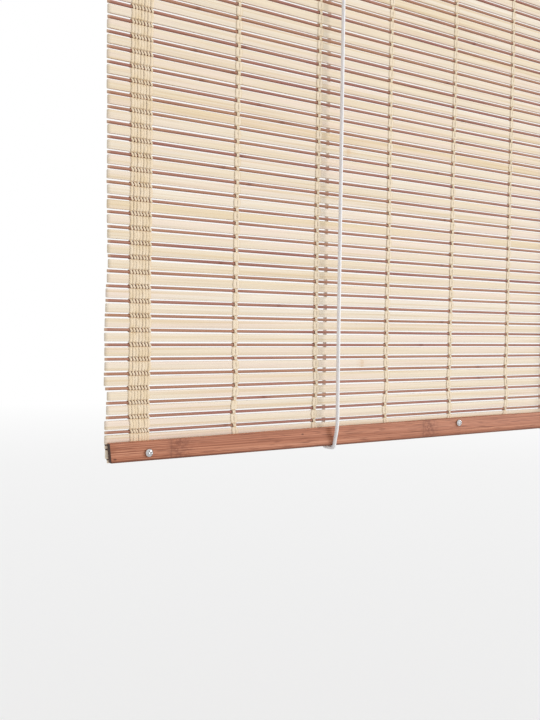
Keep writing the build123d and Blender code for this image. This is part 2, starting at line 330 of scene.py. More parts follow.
def yarn_material():
    """Soft twisted cotton yarn: its plies slant round it, and a painted shade darkens it along its edges.
    """
    look = Nodes("cream_yarn_twist")
    edge, clean = look.tint()[:2]
    plies = look.node(
        "ShaderNodeTexWave",
        output="Fac",
        settings={"wave_type": "BANDS", "bands_direction": "DIAGONAL"},
        Vector=look.stretched(look.node("ShaderNodeTexCoord", output="UV"), (520, 3.0, 1)),
        Scale=1.0,
        Distortion=0.6,
        Detail=1.0,
    )
    base = look.ramp(
        look.noise((160, 160, 130)),
        (0.3, linear(234, 210, 172)),
        (0.5, linear(241, 219, 187)),
        (0.75, linear(247, 229, 203)),
    )
    base = look.mix(clean, base, linear(251, 236, 213))
    base = look.mix(0.3, base, look.grey_ramp(plies, (0.0, 0.78), (0.5, 1.0)), "MULTIPLY")
    # Painted shade: olive along the yarn's edges, as much as its first tint value gives
    base = look.mix(look.grey_ramp(edge, (0.6, 0.0), (1.0, 0.8)), base, linear(194, 174, 132))
    look.shade(Base_Color=base, Roughness=0.9, Specular_IOR_Level=0.15)
    look.shade(Sheen_Weight=0.25, Sheen_Roughness=0.5)
    look.bump(plies, 0.5, 0.00015)
    return look.material


def rail_material():
    """Carbonised bamboo: brown, with fine fibres, short dashes, mottled nodes, a painted shade along its
    lower edge, and end faces darker, partly as end grain and partly as painted shade.
    """
    look = Nodes("brown_bamboo_grain")
    from_node, edge, crack = look.tint()

    # Fibres and dashes
    lines = look.noise((3.5, 700, 1700), 2.0, 0.6)
    fine = look.noise((14, 1100, 2300), 3.0, 0.6)
    bands = look.noise((4, 100, 150))
    dashes = look.noise((70, 700, 1500), 1.0, 0.4)
    base = look.ramp(
        lines,
        (0.32, linear(138, 80, 54)),
        (0.45, linear(169, 106, 78)),
        (0.55, linear(186, 122, 93)),
        (0.68, linear(210, 150, 120)),
    )
    base = look.mix(look.grey_ramp(bands, (0.36, 0.4), (0.48, 0.0)), base, linear(164, 101, 76))
    base = look.mix(look.grey_ramp(bands, (0.5, 0.0), (0.66, 0.4)), base, linear(200, 138, 112))
    base = look.mix(0.8, base, look.grey_ramp(fine, (0.3, 0.72), (0.5, 0.98), (0.7, 1.14)), "MULTIPLY")
    base = look.mix(look.grey_ramp(dashes, (0.6, 0.0), (0.7, 0.6)), base, linear(112, 62, 44))

    # A mottled patch about each node, with a faint line beside it
    wobble = look.noise((80, 80, 170))
    aside = look.math("MULTIPLY", from_node, node_patch_reach)
    aside = look.math("ADD", aside, look.math("MULTIPLY", look.math("SUBTRACT", wobble, 0.5), 14.0))
    patch = look.math("DIVIDE", look.math("ABSOLUTE", aside), 12.0)
    patch = look.math("SUBTRACT", 1.0, patch, clamp=True)
    mottle = look.noise((380, 600, 520), 3.0, 0.6)
    mottle = look.grey_ramp(mottle, (0.4, 0.15), (0.58, 1.0))
    patch = look.math("MULTIPLY", look.math("MULTIPLY", patch, mottle), 0.8)
    base = look.mix(patch, base, linear(126, 74, 55))
    base = look.mix(look.math("MULTIPLY", crack, 0.3, clamp=True), base, linear(98, 56, 42))

    # Specks, a painted shade along the lower edge, and the end faces darker, partly as end grain and partly
    # as painted shade
    specks = look.node(
        "ShaderNodeTexVoronoi",
        output="Distance",
        Vector=look.stretched(look.place, (40, 90, 90)),
        Scale=1.0,
    )
    base = look.mix(look.grey_ramp(specks, (0.03, 0.75), (0.06, 0.0)), base, linear(70, 38, 28))
    # Painted shade along the rail's lower edge
    base = look.mix(look.math("MULTIPLY", edge, 0.7, clamp=True), base, linear(98, 58, 42))
    # End faces are darker, partly as darker end grain and partly as painted shade
    facing = look.node("ShaderNodeTexCoord", output="Normal")
    end = look.math("POWER", look.math("ABSOLUTE", look.split(facing)[0]), 3.0)
    base = look.mix(look.math("MULTIPLY", end, 0.97), base, linear(40, 24, 14))
    look.shade(Base_Color=base, Roughness=look.grey_ramp(fine, (0.3, 0.6), (0.7, 0.46)))
    look.shade(Specular_IOR_Level=0.3)
    look.bump(look.mix(0.5, lines, dashes), 0.3, 0.00012)
    return look.material


def cord_material():
    """White braided cord, whose strands wind round it both ways."""
    strands = 3
    pitches = 360
    look = Nodes("white_cord_braid")
    along, around = look.split(look.node("ShaderNodeTexCoord", output="UV"))[:2]
    wind = look.math("MULTIPLY", around, 2 * math.pi * strands)
    pitch = look.math("MULTIPLY", along, 2 * math.pi * pitches)
    first = look.math("SINE", look.math("ADD", pitch, wind))
    second = look.math("SINE", look.math("SUBTRACT", pitch, wind))
    braid = look.math("MULTIPLY", first, second)
    soil = look.noise((120, 120, 60))
    base = look.ramp(soil, (0.3, linear(242, 239, 240)), (0.7, linear(251, 249, 250)))
    shade = look.grey_ramp(look.math("ABSOLUTE", braid), (0.0, 0.86), (0.35, 1.0))
    base = look.mix(1.0, base, shade, "MULTIPLY")
    look.shade(Base_Color=base, Roughness=0.7, Specular_IOR_Level=0.25)
    look.shade(Sheen_Weight=0.2)
    look.bump(braid, 0.35, 0.00025)
    return look.material


def plastic_material():
    """White moulded plastic with a faint grain."""
    look = Nodes("white_plastic_moulded")
    grain = look.noise((900, 900, 900))
    base = look.ramp(grain, (0.3, linear(228, 226, 220)), (0.7, linear(238, 236, 231)))
    look.shade(Base_Color=base, Roughness=look.grey_ramp(grain, (0.3, 0.42), (0.7, 0.32)))
    look.bump(grain, 0.1, 0.00005)
    return look.material


def steel_material(name, tone, rough_low, rough_high, scale):
    """Plated steel of a grey tone, with slight wear."""
    look = Nodes(name)
    wear = look.noise(scale, 3.0, 0.6)
    look.shade(Metallic=1.0, Roughness=look.grey_ramp(wear, (0.3, rough_low), (0.7, rough_high)))
    darker = linear(tone - 14, tone - 14, tone - 14)
    look.shade(Base_Color=look.ramp(wear, (0.3, darker), (0.7, linear(tone, tone, tone + 2))))
    look.bump(wear, 0.06, 0.00005)
    return look.material


materials = {
    "pale_bamboo": slat_material(),
    "brown_reed": reed_material(),
    "cream_yarn": yarn_material(),
    "brown_bamboo": rail_material(),
    "white_cord": cord_material(),
    "white_plastic": plastic_material(),
    "bright_steel": steel_material("bright_steel_plated", 204, 0.1, 0.2, (500, 500, 500)),
    "plain_steel": steel_material("plain_steel_zinc", 196, 0.3, 0.45, (300, 300, 1500)),
}


# Meshes
class Build:
    """Collects swept rings of points, in mm, into one mesh piece."""

    def __init__(self):
        self.points, self.quads, self.caps, self.uv, self.tint = [], [], [], [], []
        self.count = 0

    def rings(self, rings, uv=None, tint=None, closed=False):
        """rings is stations by section points by 3. They end in flat caps or close on themselves."""
        rings = np.asarray(rings, float)
        stations, sides, _ = rings.shape
        index = self.count + np.arange(stations * sides).reshape(stations, sides)
        if closed:
            index = np.concatenate([index, index[:1]])
        following = np.roll(index, -1, axis=1)
        quads = np.stack([index[:-1], following[:-1], following[1:], index[1:]], axis=-1)
        self.quads.append(quads.reshape(-1, 4))
        self.points.append(rings.reshape(-1, 3))
        if uv is not None:
            self.uv.append(uv.reshape(-1, 2))
        if tint is not None:
            self.tint.append(tint.reshape(-1, 3))
        if not closed:
            self.caps.append(index[0][::-1])
            self.caps.append(index[-1])
        self.count += stations * sides

    def mesh(self, name):
        """The rings as a mesh in metres, with what its points carry."""
        points = np.concatenate(self.points)
        quads = np.concatenate(self.quads)
        loops = np.concatenate([quads.ravel(), *self.caps])
        sizes = np.concatenate([np.full(len(quads), 4), [len(cap) for cap in self.caps]]).astype(int)
        starts = np.concatenate([[0], np.cumsum(sizes)[:-1]])
        mesh = bpy.data.meshes.new(name)
        mesh.vertices.add(len(points))
        mesh.vertices.foreach_set("co", (points * mm).astype(np.float32).ravel())
        mesh.loops.add(len(loops))
        mesh.loops.foreach_set("vertex_index", loops.astype(np.int32))
        mesh.polygons.add(len(sizes))
        mesh.polygons.foreach_set("loop_start", starts.astype(np.int32))
        mesh.update(calc_edges=True)
        mesh.validate()
        if self.uv:
            layer = mesh.uv_layers.new(name="along")
            layer.data.foreach_set("uv", np.concatenate(self.uv).astype(np.float32)[loops].ravel())
        if self.tint:
            colours = mesh.color_attributes.new("tint", "FLOAT_COLOR", "POINT")
            full = np.ones((len(points), 4), np.float32)
            full[:, :3] = np.concatenate(self.tint)
            colours.data.foreach_set("color", full.ravel())
        return mesh

    def finish(self, name, slot, body="blind"):
        """The mesh as a piece with its slot's material, riding on a body."""
        mesh = self.mesh(name)
        mesh.shade_smooth()
        mesh.set_sharp_from_angle(angle=math.radians(40))
        shape = bmesh.new()
        shape.from_mesh(mesh)
        bmesh.ops.recalc_face_normals(shape, faces=shape.faces)
        shape.to_mesh(mesh)
        shape.free()
        mesh.materials.append(materials[slot])
        made = bpy.data.objects.new(name, mesh)
        bpy.context.scene.collection.objects.link(made)
        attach(made, body)
        return made


def full_turn(steps):
    """Angles evenly round a circle, without its last point, which is its first."""
    return 2 * math.pi * np.arange(steps) / steps


def unit(vectors):
    """Each row as a vector of length 1."""
    return vectors / np.linalg.norm(vectors, axis=1)[:, None]


def rounded_section(depth, height, front_radius, back_radius, steps=3):
    """A rounded rectangle's points, depth and height from its middle, seen along +X."""
    points = []
    for depth_side, height_side, start in ((1, 1, 0), (-1, 1, 90), (-1, -1, 180), (1, -1, 270)):
        radius = back_radius if depth_side > 0 else front_radius
        for step in range(steps):
            turn = math.radians(start + 90 * step / (steps - 1))
            points.append(
                (
                    depth_side * (depth / 2 - radius) + radius * math.cos(turn),
                    height_side * (height / 2 - radius) + radius * math.sin(turn),
                )
            )
    return points


def stray(reach):
    """A random shift of up to a reach either way."""
    return random.uniform(-reach, reach)


def waves(places, height, shortest, longest, count=3):
    """A slow random wave along a piece."""
    total = np.zeros_like(places)
    for _ in range(count):
        length = random.uniform(shortest, longest)
        total += stray(1) * np.sin(2 * math.pi * (places / length + random.random()))
    return total * height / count


def bar(build, section, low, high, middle_y, middle_z, nodes, tone, wave, twist=0.0, tip=0.0):
    """A split rod along X, with rounded ends, a slow wave, and slight swellings at its nodes."""
    station_count = 34
    round_end = 0.25
    end_share = 0.86
    tip_reach = 2
    node_reach = 2.2
    node_width = 2
    node_swell = 0.05
    bend_lengths = (180, 500)
    bend_depth_share = 0.4
    turn_lengths = (200, 500)
    turn_reach = math.radians(1.5)
    inner = np.linspace(low + round_end, high - round_end, station_count)
    extra = [x + share * node_reach for x in nodes for share in (-1, -0.4, 0.4, 1)]
    extra += [low + tip_reach, high - tip_reach]
    places = np.sort(np.concatenate([[low], inner, extra, [high]]))
    grow = np.ones(len(places))
    grow[0] = grow[-1] = end_share
    mark = np.zeros(len(places))
    for x in nodes:
        near = np.exp(-(((places - x) / node_width) ** 2))
        grow += node_swell * near
        mark += near
    mark -= tip * np.clip(1 - np.minimum(places - low, high - places) / tip_reach, 0, 1)
    up = middle_z + waves(places, wave, *bend_lengths)
    out = middle_y + waves(places, wave * bend_depth_share, *bend_lengths)
    turn = math.radians(twist) + waves(places, turn_reach, *turn_lengths)
    depth = section[None, :, 0] * grow[:, None]
    height = section[None, :, 1] * grow[:, None]
    rings = np.empty((len(places), len(section), 3))
    rings[:, :, 0] = places[:, None]
    rings[:, :, 1] = out[:, None] + depth * np.cos(turn)[:, None] - height * np.sin(turn)[:, None]
    rings[:, :, 2] = up[:, None] + depth * np.sin(turn)[:, None] + height * np.cos(turn)[:, None]
    tint = np.empty(rings.shape)
    tint[:, :, 0] = tone
    tint[:, :, 1] = random.random()
    tint[:, :, 2] = mark[:, None]
    build.rings(rings, tint=tint)


# Slats, whose left ends wander inward from an even line, as rows and mm
left_wander = ((0, 0.4), (60, 0.6), (70, 1.4), (74, 2.0), (76, 0.8), (78, 0.3), (82, 0.2), (83, 2.0))
left_wander += ((84, 1.9), (85, 0.7), (86, 0.4), (87, 1.4), (88, 4.0))
left_ends = -half_width + np.interp(np.arange(row_count + 1), *zip(*left_wander))
slat_edge = 0.3
slat_node_chance = 0.15
slat_node_reach = 290
slats = Build()
for row in range(row_count):
    height = slat_height + stray(slat_height_stray)
    thickness = slat_thickness - random.uniform(0.0, slat_thickness_loss)
    slat_nodes = [stray(slat_node_reach)] if random.random() < slat_node_chance else []
    bar(
        slats,
        np.array(rounded_section(thickness, height, slat_edge, slat_edge)),
        left_ends[row] + stray(left_end_stray),
        half_width + random.uniform(*right_end_range),
        mat_middle_y,
        first_slat_z - row * row_pitch + stray(row_stray),
        slat_nodes,
        tone=min(1.0, max(0.0, random.gauss(0.42, 0.2))),
        wave=slat_wave,
        twist=stray(slat_twist),
    )

# Reeds, flat behind and round in front. The last ones, in the bottom rail, are bare
reed_node_chance = 0.35
reed_node_stray = 40
reeds = Build()
reed_section = [(reed_thickness / 2, -reed_height / 2), (reed_thickness / 2, reed_height / 2)]
for turn in np.radians(np.linspace(90, 270, 7)):
    depth = reed_thickness * (0.1 + 0.6 * math.cos(turn))
    reed_section.append((depth, reed_height / 2 * math.sin(turn)))
reed_section = np.array(reed_section)
for row in range(row_count):
    reed_nodes = [x + stray(reed_node_stray) for x in (-200, 0, 200) if random.random() < reed_node_chance]
    bar(
        reeds if row < row_count - bare_reeds else slats,
        reed_section * random.uniform(*reed_size_range),
        (left_ends[row] + left_ends[row + 1]) / 2 + stray(reed_end_stray),
        half_width + random.uniform(*right_end_range),
        mat_back_y - reed_thickness / 2,
        first_reed_z - row * row_pitch + stray(row_stray),
        reed_nodes,
        tone=random.random(),
        wave=reed_wave,
        tip=1.0,
    )
slat_piece = slats.finish("slats", "pale_bamboo")
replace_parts(slat_piece, "slat_mat")
reed_piece = reeds.finish("reeds", "brown_reed")
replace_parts(reed_piece, "reed_mat")

# Yarns: one of each pair goes in front of the slats and behind the reeds, the other the other way.
# A row has ten stops, by height from its slat's middle. Yarns end two stops early, inside the rail
yarn_stops = np.array([2.5, 1.3, 0.0, -1.3, -2.5, -3.15, -3.75, -4.5, -5.25, -5.85])
stops_left_off = 2
slat_yarn_off = 0.26
reed_yarn_off = 0.28
slat_edge_dip = 0.05
yarn_front_y = mat_front_y - slat_yarn_off
yarn_back_y = mat_back_y + slat_yarn_off
yarn_reed_y = mat_back_y - reed_thickness - reed_yarn_off
yarn_edge_y = yarn_front_y + slat_edge_dip
over_slat_y = np.array(
    [yarn_edge_y]
    + [yarn_front_y] * 3
    + [yarn_edge_y, mat_middle_y]
    + [yarn_back_y] * 3
    + [mat_middle_y]
)
over_reed_y = np.array([yarn_back_y] * 5 + [mat_middle_y] + [yarn_reed_y] * 3 + [mat_middle_y])
reed_slant = np.array([0.1, 0.05, 0.0, -0.05, -0.1, -0.55, -0.35, 0.0, 0.35, 0.55])
slat_bow = np.array([0.55, 0.9, 1.0, 0.9, 0.55, 0.2, 0.0, 0.0, 0.0, 0.2])


def yarn(build, across, depths, size, edge_shade, clean):
    """A yarn down the whole mat: its places across, row by row and stop by stop, and its depths.

    edge_shade is how much painted shade darkens its left and right edges, and clean how much paler than the
    rest it is.
    """
    half_wide, half_thick = size
    left_edge_shade, right_edge_shade = edge_shade
    rows = np.arange(row_count)[:, None]
    path = np.empty((row_count, len(yarn_stops), 3))
    path[:, :, 0] = across
    path[:, :, 1] = depths[None, :]
    path[:, :, 2] = first_slat_z - rows * row_pitch + yarn_stops[None, :]
    path = path.reshape(-1, 3)[:-stops_left_off]
    along = unit(np.gradient(path, axis=0))
    side = unit(np.array([1.0, 0, 0]) - along[:, :1] * along)
    face = np.cross(along, side)
    turns = full_turn(yarn_sides)
    rings = (
        path[:, None, :]
        + half_wide * np.cos(turns)[None, :, None] * side[:, None, :]
        + half_thick * np.sin(turns)[None, :, None] * face[:, None, :]
    )
    reach = np.concatenate([[0], np.cumsum(np.linalg.norm(np.diff(path, axis=0), axis=1))])
    uv = np.empty((len(path), yarn_sides, 2))
    uv[:, :, 0] = reach[:, None] * mm
    uv[:, :, 1] = (1 - np.abs(1 - turns / math.pi))[None, :]
    # Painted shade, strongest at the yarn's left and right edges, kept in the first tint value
    edge = np.where(np.cos(turns) < 0, left_edge_shade, right_edge_shade)
    tint = np.zeros(rings.shape)
    tint[:, :, 0] = (np.abs(np.cos(turns)) * edge)[None, :]
    tint[:, :, 1] = clean
    build.rings(rings, uv=uv, tint=tint)


def drift(height, low_height, step=3):
    """A warp's slow wander down the mat, looser in its last rows above the bottom rail."""
    loose_rows = 9
    rows = np.arange(row_count)
    knots = np.arange(0, row_count + step, step)
    wander = np.interp(rows, knots, noise.uniform(-height, height, len(knots)))
    loose = np.clip((rows - (row_count - loose_rows)) / 4, 0, 1)
    loose *= np.clip((row_count + 0.5 - rows) / 2, 0, 1)
    swing = np.sin(2 * math.pi * (rows / noise.uniform(4.5, 5.5) + noise.uniform(0, 1)))
    return wander + loose * low_height * swing


def smooth_down(values):
    """Row values as a place at each stop, passing evenly from row to row."""
    rows = np.arange(row_count)
    stops = rows[:, None] - yarn_stops[None, :] / row_pitch
    return np.interp(stops.ravel(), rows, values).reshape(row_count, len(yarn_stops))


def random_rows(low, high):
    """A random value for each row, passing evenly from row to row."""
    return smooth_down(noise.uniform(low, high, row_count))


# Warps, each two pairs of yarn that part over the slats. A drift is its reach, and that of the last rows
warp_drift = (0.35, 1.2)
warp_stray = 0.12
warp_open_stray = 0.25
warp_spread = 0.8
warp_bow = 0.5
warp_reed_aside = 0.4
warp_reed_spread = 0.5
warp_reed_slant = 0.3
for number in range(1, warp_count + 1):
    warp = Build()
    centre = smooth_down((number - middle_warp) * warp_pitch + drift(*warp_drift))
    open_share = 1 + random_rows(-warp_open_stray, warp_open_stray)
    # Each yarn of a pair gets a painted shade along its outer edge
    for side, edge_shade in ((-1, (0.8, 0.0)), (1, (0.0, 1.0))):
        middle = centre + random_rows(-warp_stray, warp_stray)
        spread = warp_spread + warp_bow * slat_bow[None, :] * open_share
        yarn(warp, middle + side * spread, over_slat_y, warp_slat_yarn, edge_shade, 0.5)
        reed_across = middle + warp_reed_aside + side * warp_reed_spread
        reed_across = reed_across + warp_reed_slant * reed_slant[None, :]
        # The yarn in front of the reeds is made paler than the one over the slats, a painted highlight
        yarn(warp, reed_across, over_reed_y, warp_reed_yarn, edge_shade, 0.6)
    warp_piece = warp.finish(f"warp_{number}", "cream_yarn")
    if number != middle_warp:
        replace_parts(warp_piece, f"warp_front_{number}", f"warp_back_{number}")

# Edge bands, a little narrower in their last rows
band_drift = (0.25, 0.5)
band_stray = 0.18
band_bow_range = (0.25, 0.65)
band_slat_aside = -0.4
band_reed_aside = 0.25
band_reed_slant = 0.9
band_share = np.interp(np.arange(row_count), (0, row_count - 5, row_count - 2), (1, 1, 0.9))
for end, middle in (("left", -band_x), ("right", band_x)):
    band = Build()
    shared = drift(*band_drift)
    for number in range(band_yarns):
        aside = (number - (band_yarns - 1) / 2) * band_pitch
        centre = smooth_down(middle + aside * band_share + shared)
        centre = centre + random_rows(-band_stray, band_stray)
        bow = random_rows(*band_bow_range)
        slat_across = centre + band_slat_aside + bow * slat_bow[None, :]
        # Each band yarn gets a painted shade along both its edges
        yarn(band, slat_across, over_slat_y, band_slat_yarn, (0.7, 0.75), 0.1)
        reed_across = centre + band_reed_aside + band_reed_slant * reed_slant[None, :]
        # The yarn in front of the reeds is made paler than the one over the slats, a painted highlight
        yarn(band, reed_across, over_reed_y, band_reed_yarn, (0.5, 0.5), 0.3)
    band_piece = band.finish(f"edge_band_{end}", "cream_yarn")
    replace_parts(band_piece, f"edge_band_{end}_front", f"edge_band_{end}_back")


# Rails
def batten(name, node, edge_front, edge_back, nodes, top_shape=None, left_cut=(0.0, 0.0)):
    """A bamboo batten in a solid batten's place, with rounded edges and slight unevenness.

    top_shape is its top edge's rise along X, and left_cut how far its left end is cut back at the
    top and at the bottom.
    """
    corner_steps = 5
    station_count = 121
    end_bevel = 0.3
    end_share = 0.95
    edge_line = 1.7
    shaded_edge_height = 1.2
    node_swell = 0.12
    node_width = 4.5
    crack_aside = 6
    top_wave = 0.12
    top_wave_lengths = (60, 300)
    low, high = (np.array(corner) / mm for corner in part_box(node))
    depth, height = high[1] - low[1], high[2] - low[2]
    section = rounded_section(depth, height, edge_front, edge_back, corner_steps)
    section.insert(2 * corner_steps, (-depth / 2, edge_line - height / 2))
    section = np.array(section)
    places = np.linspace(low[0] + end_bevel, high[0] - end_bevel, station_count)
    extra = [x + aside for x in nodes for aside in (-20, -7, -6, -5, -3, 0, 3, 6, 20)]
    places = np.sort(np.concatenate([[low[0]], places, extra, [high[0]]]))
    inset = np.ones(len(places))
    inset[0] = inset[-1] = end_share
    rings = np.empty((len(places), len(section), 3))
    rings[:, :, 0] = places[:, None]
    rings[:, :, 1] = (low[1] + high[1]) / 2 + section[None, :, 0] * inset[:, None]
    rings[:, :, 2] = (low[2] + high[2]) / 2 + section[None, :, 1] * inset[:, None]

    # Uneven top edge, left end and nodes
    upper = np.clip(section[:, 1] / height + 0.5, 0, 1)
    rise = waves(places, top_wave, *top_wave_lengths)
    if top_shape:
        rise = rise + np.interp(places, *zip(*top_shape))
    rings[:, :, 2] += rise[:, None] * upper[None, :]
    rings[:2, :, 0] += np.interp(upper, (0, 1), left_cut[::-1])[None, :]
    gaps = places[:, None] - np.array(nodes)[None, :]
    nearest = gaps[np.arange(len(places)), np.abs(gaps).argmin(axis=1)]
    forward = (section[:, 0] < -depth / 2 + edge_front).astype(float)
    swell = node_swell * np.exp(-((nearest / node_width) ** 2))
    rings[:, :, 1] -= swell[:, None] * forward[None, :]

    tint = np.zeros(rings.shape)
    tint[:, :, 0] = np.clip(np.abs(nearest) / node_patch_reach, 0, 1)[:, None]
    # The lowest part of the section carries a painted shade along the lower edge
    tint[:, :, 1] = np.where(section[:, 1] < shaded_edge_height - height / 2, 1.0, 0.0)[None, :]
    tint[:, :, 2] = np.clip(1 - np.abs(nearest + crack_aside), 0, 1)[:, None]
    build = Build()
    build.rings(rings, tint=tint)
    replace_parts(build.finish(name, "brown_bamboo"), node)


rail_top_shape = ((-300, -0.9), (-200, -0.3), (-123, 0.25), (0, 0.8), (300, 0.6))
batten("bottom_batten_front", "bottom_rail_front", 0.8, 0.3, (-250, -27, 165), rail_top_shape, (0.0, 1.2))
batten("bottom_batten_back", "bottom_rail_back", 0.3, 0.8, (-180, 70, 240), None, (0.8, 2.6))
batten("head_batten_front", "head_rail_front", 1.0, 0.3, (-215, -10, 205))
batten("head_batten_back", "head_rail_back", 0.4, 0.6, (-130, 90))


# Screws
def dome_screw(build, place, facing, size):
    """A domed screw with a cross recess, turned to any angle."""
    width, rise, shank, reach = size
    recess_half = 0.1
    recess_reach = 0.3
    recess_share = 0.45
    profile = [(-reach, shank * 0.25), (-reach + shank / 2, shank / 2), (0, shank / 2), (0, width * 0.4)]
    for turn in np.linspace(0, math.pi / 2, 26)[:-1]:
        profile.append((rise * (0.2 + 0.8 * math.sin(turn)), width / 2 * math.cos(turn)))
    profile.append((rise, width * 0.004))
    along, radius = np.array(profile).T
    turns = full_turn(56)
    start = random.uniform(0, math.pi)
    first = np.abs(radius[:, None] * np.cos(turns + start)[None, :]) / width
    second = np.abs(radius[:, None] * np.sin(turns + start)[None, :]) / width
    dent = np.zeros_like(first)
    for thin, long in ((first, second), (second, first)):
        arm = np.clip((recess_half - thin) / 0.04, 0, 1) * np.clip((recess_reach - long) / 0.1, 0, 1)
        dent = np.maximum(dent, arm * (1 - long / 0.5))
    dent *= (along > rise / 2)[:, None]
    rings = np.empty((len(profile), len(turns), 3))
    rings[:, :, 0] = place[0] + radius[:, None] * np.cos(turns)[None, :]
    rings[:, :, 1] = place[1] - facing * (along[:, None] - recess_share * rise * dent)
    rings[:, :, 2] = place[2] + radius[:, None] * np.sin(turns)[None, :]
    build.rings(rings)


def screw_group(name, node, places, seat, facing, size, slot):
    """Screws at places across and up, seated at a depth, facing the room (1) or the wall (-1)."""
    build = Build()
    for x, z in places:
        dome_screw(build, (x, seat, z), facing, size)
    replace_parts(build.finish(name, slot), node)


bottom_screws = [(x, side_screw_z) for x in (-side_screw_x, side_screw_x)]
bottom_screws.insert(1, (middle_screw_x, middle_screw_z))
head_screws = [(x, head_screw_z) for x in (-side_screw_x, middle_screw_x, side_screw_x)]
strap_heights = (wheel_z - strap_screw_rise, wheel_z + strap_screw_rise)
strap_screws = [(x, z) for x in (left_wheel_x, right_wheel_x) for z in strap_heights]
hanger_screws = [(x, z) for x in (-hanger_x, hanger_x) for z in hanger_screw_heights]
strap_seat = rail_front_y - strap_thickness
screw_group(
    "bottom_domes", "bottom_rail_screws", bottom_screws, rail_front_y, 1, bottom_screw, "bright_steel"
)
screw_group("head_domes", "head_rail_screws", head_screws, rail_front_y, 1, head_screw, "bright_steel")
screw_group("strap_domes", "pulley_screws", strap_screws, strap_seat, 1, strap_screw, "plain_steel")
screw_group("hanger_domes", "hanger_screws", hanger_screws, 0, -1, hanger_screw, "plain_steel")


# Hanging plates, each a tongue with a round end about its hole
def hanging_plate(name, node, middle):
    half_circle = np.linspace(0, math.pi, 25)
    quarter = np.linspace(0, math.pi / 2, 6)
    side_stops = (-6, -12, -18, -22)
    corner_x = plate_half - plate_corner
    corner_z = plate_corner - plate_low
    outline = [(plate_half * math.cos(turn), plate_half * math.sin(turn)) for turn in half_circle]
    outline += [(-plate_half, z) for z in side_stops]
    for across, down in zip(np.cos(quarter), np.sin(quarter)):
        outline.append((-corner_x - plate_corner * across, corner_z - plate_corner * down))
    for across, down in zip(np.sin(quarter), np.cos(quarter)):
        outline.append((corner_x + plate_corner * across, corner_z - plate_corner * down))
    outline += [(plate_half, z) for z in reversed(side_stops)]
    outline = np.array(outline)
    inner = outline * (1 - plate_bevel / np.linalg.norm(outline, axis=1))[:, None]

    # The hole has as many points as the outline
    share = np.linspace(0, 1, len(outline) - len(half_circle) + 2)[1:-1]
    turns = np.concatenate([half_circle, math.pi * (1 + share)])
    circle = np.stack([np.cos(turns), np.sin(turns)], axis=1)
    hole = plate_hole * circle
    wide_hole = (plate_hole + plate_bevel) * circle
    front = -plate_thickness
    layers = ((outline, -plate_bevel), (outline, front + plate_bevel), (inner, front), (wide_hole, front))
    layers += ((hole, front + plate_bevel), (hole, -plate_bevel), (wide_hole, 0), (inner, 0))
    rings = np.empty((len(outline), len(layers), 3))
    for number, (flat, y) in enumerate(layers):
        rings[:, number, 0] = middle + flat[:, 0]
        rings[:, number, 1] = y
        rings[:, number, 2] = flat[:, 1]
    plate = Build()
    plate.rings(rings, closed=True)
    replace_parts(plate.finish(name, "plain_steel"), node)


hanging_plate("hanging_plate_left", "hanger_left", -hanger_x)
hanging_plate("hanging_plate_right", "hanger_right", hanger_x)

# Pulley wheels, grooved. The profile runs from a side's bore to the groove, as half width and radius
wheel_side = [(3.0, 1.3), (3.0, 5.9), (2.85, 6.15), (2.5, 6.25), (2.15, 6.1), (1.85, 5.6)]
wheel_side += [(1.45, 4.3), (0.9, 3.55)]
groove_radius = 3.35
other_side = [(-along, radius) for along, radius in wheel_side]
wheel_profile = np.array(other_side + [(0.0, groove_radius)] + wheel_side[::-1])
for body, (x, y, z) in joint_places.items():
    node = body.removesuffix("_body")
    turns = full_turn(64)
    rings = np.empty((len(turns), len(wheel_profile), 3))
    rings[:, :, 0] = x + wheel_profile[None, :, 1] * np.cos(turns)[:, None]
    rings[:, :, 1] = y + wheel_profile[None, :, 0]
    rings[:, :, 2] = z + wheel_profile[None, :, 1] * np.sin(turns)[:, None]
    wheel = Build()
    wheel.rings(rings, closed=True)
    made = wheel.finish(f"{node}_turned", "white_plastic", body)
    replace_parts(made, node)


# Pulley straps, bent from strip
def bent_path(corners, bend, steps=6):
    """A line through corners, depth and height, each rounded by a bend of that radius."""
    corners = np.array(corners, float)
    path = [corners[0]]
    for before, corner, after in zip(corners, corners[1:], corners[2:]):
        back = (before - corner) / np.linalg.norm(before - corner)
        ahead = (after - corner) / np.linalg.norm(after - corner)
        middle = corner + bend * (back + ahead)
        for turn in np.linspace(0, math.pi / 2, steps):
            path.append(middle - bend * (math.cos(turn) * ahead + math.sin(turn) * back))
    path.append(corners[-1])
    return np.array(path)


def pulley_strap(name, node, x, front_y):
    section = np.array(rounded_section(strap_width, strap_thickness, strap_edge, strap_edge))
    foot_y = rail_front_y - strap_thickness / 2
    corners = [(foot_y, strap_foot_rise), (foot_y, strap_bend_rise), (front_y, strap_bend_rise)]
    corners += [(y, -rise) for y, rise in reversed(corners)]
    path = bent_path(corners, strap_bend)
    along = unit(np.gradient(path, axis=0))
    rings = np.empty((len(path), len(section), 3))
    rings[:, :, 0] = x + section[None, :, 0]
    rings[:, :, 1] = path[:, :1] - section[None, :, 1] * along[:, 1:]
    rings[:, :, 2] = wheel_z + path[:, 1:] + section[None, :, 1] * along[:, :1]
    strap = Build()
    strap.rings(rings)
    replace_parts(strap.finish(name, "plain_steel"), node)


